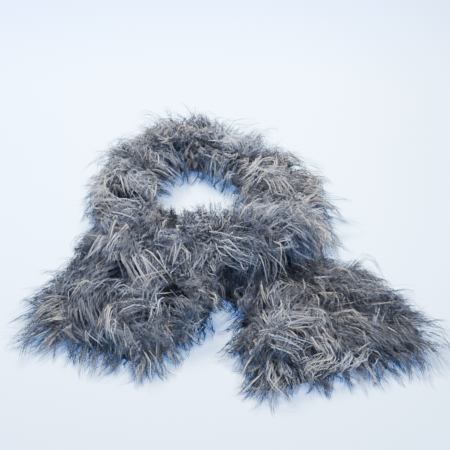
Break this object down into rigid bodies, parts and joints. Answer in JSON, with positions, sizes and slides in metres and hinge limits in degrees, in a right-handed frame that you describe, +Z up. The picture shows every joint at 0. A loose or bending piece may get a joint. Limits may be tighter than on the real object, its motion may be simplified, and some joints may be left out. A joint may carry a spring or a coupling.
{
  "type": "shaggy long-pile scarf",
  "caption": "Narrow scarf of shaggy long-pile cloth in mixed greys, laid flat in a crossed loop with both tails spread to the front.",
  "frame": {"origin": "on the table, under the middle of the laid scarf's bounding box", "axes": "+Z up from the table; +Y away from the viewer, from the tails to the back of the loop; +X to the right, towards the tail that lies underneath"},
  "size_m": [0.4934, 0.5204, 0.0864],
  "materials": {
    "pile": "matt long pile",
    "locks": "soft sheen on the tips of the pile"
  },
  "bodies": {
    "root": {"tail_left": "pile", "front": "pile", "side_right": "pile", "back": "pile", "side_left": "pile", "tail_right": "pile", "locks_tail_left_outer": "locks", "locks_tail_left_end": "locks", "locks_tail_left_inner": "locks", "locks_front_low": "locks", "locks_side_right_outer": "locks", "locks_back_outer": "locks", "locks_side_left_outer": "locks", "locks_tail_right_outer": "locks", "locks_tail_right_end": "locks", "locks_tail_right_inner": "locks", "locks_front_neck": "locks", "locks_side_right_neck": "locks", "locks_back_neck": "locks", "locks_side_left_neck": "locks"}
  },
  "joints": []
}
